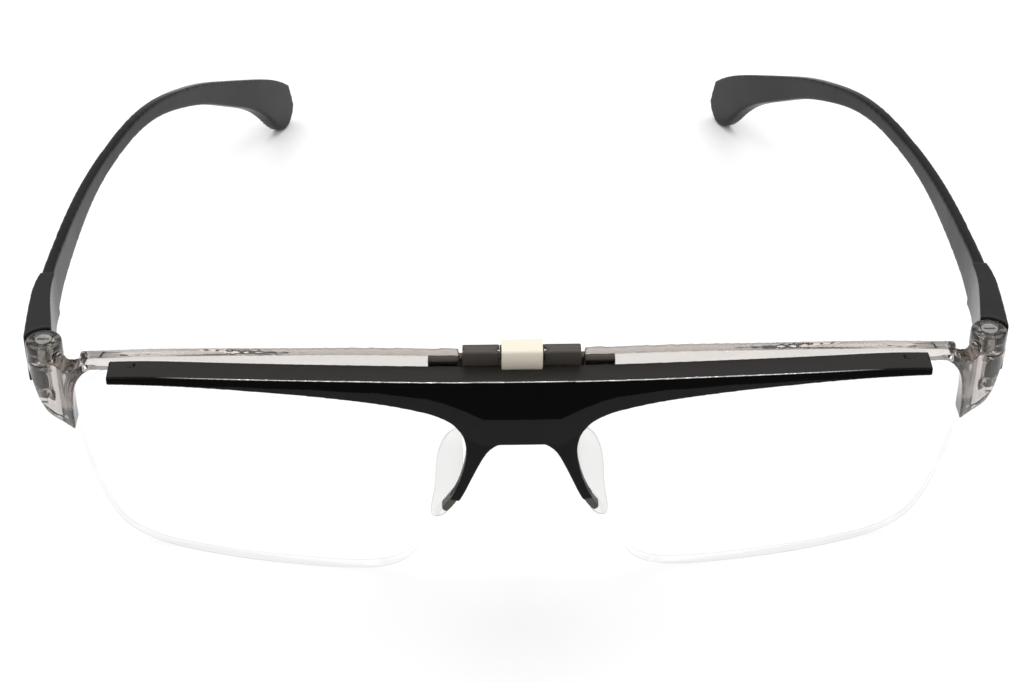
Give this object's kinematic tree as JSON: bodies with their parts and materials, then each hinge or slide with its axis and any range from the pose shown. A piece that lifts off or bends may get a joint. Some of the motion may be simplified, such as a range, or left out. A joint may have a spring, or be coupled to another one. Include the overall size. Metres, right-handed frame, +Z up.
{
  "type": "flip-up magnifying spectacles",
  "caption": "Flip-up magnifying spectacles: clear lenses under a black brow bar hinged to a smoke frame, with folding temples and clear nose pads.",
  "frame": {"origin": "under the middle of the open spectacles, on the surface that they stand on", "axes": "+X to the wearer's left, +Y back along the temples, away from the lenses, +Z up; the wearer looks along -Y"},
  "size_m": [0.1494, 0.153, 0.0469],
  "materials": {
    "lens": "clear",
    "brow": "gloss",
    "leaf": "satin",
    "steel": "satin",
    "washer": "matte",
    "bridge": "matte",
    "pad": "clear satin",
    "frame": "smoke clear gloss",
    "bush": "matte",
    "housing": "satin",
    "temple": "satin"
  },
  "bodies": {
    "frame": {"frame_left": "frame", "frame_right": "frame", "nose_bridge": "bridge", "bridge_screws": "steel", "nose_pad_left": "pad", "nose_pad_right": "pad", "flip_pin": "steel", "temple_screw_left": "steel", "temple_screw_right": "steel"},
    "flip_front": {"brow_bar": "brow", "lens_left": "lens", "lens_right": "lens", "hinge_leaf": "leaf", "leaf_screws": "steel", "friction_washers": "washer"},
    "left_temple": {"temple_housing_left": "housing", "temple_arm_left": "temple", "temple_bush_left": "bush"},
    "right_temple": {"temple_housing_right": "housing", "temple_arm_right": "temple", "temple_bush_right": "bush"}
  },
  "joints": [
    {"name": "flip_up", "type": "hinge", "parent": "frame", "child": "flip_front", "pos_m": [0, -0.07168, 0.04504], "axis": [-1, 0, 0], "range_deg": [0, 90]},
    {"name": "fold_left", "type": "hinge", "parent": "frame", "child": "left_temple", "pos_m": [0.0709, -0.05258, 0.0295], "axis": [0, 0, 1], "range_deg": [0, 78]},
    {"name": "fold_right", "type": "hinge", "parent": "frame", "child": "right_temple", "pos_m": [-0.0709, -0.05258, 0.0295], "axis": [0, 0, -1], "range_deg": [0, 74]}
  ]
}
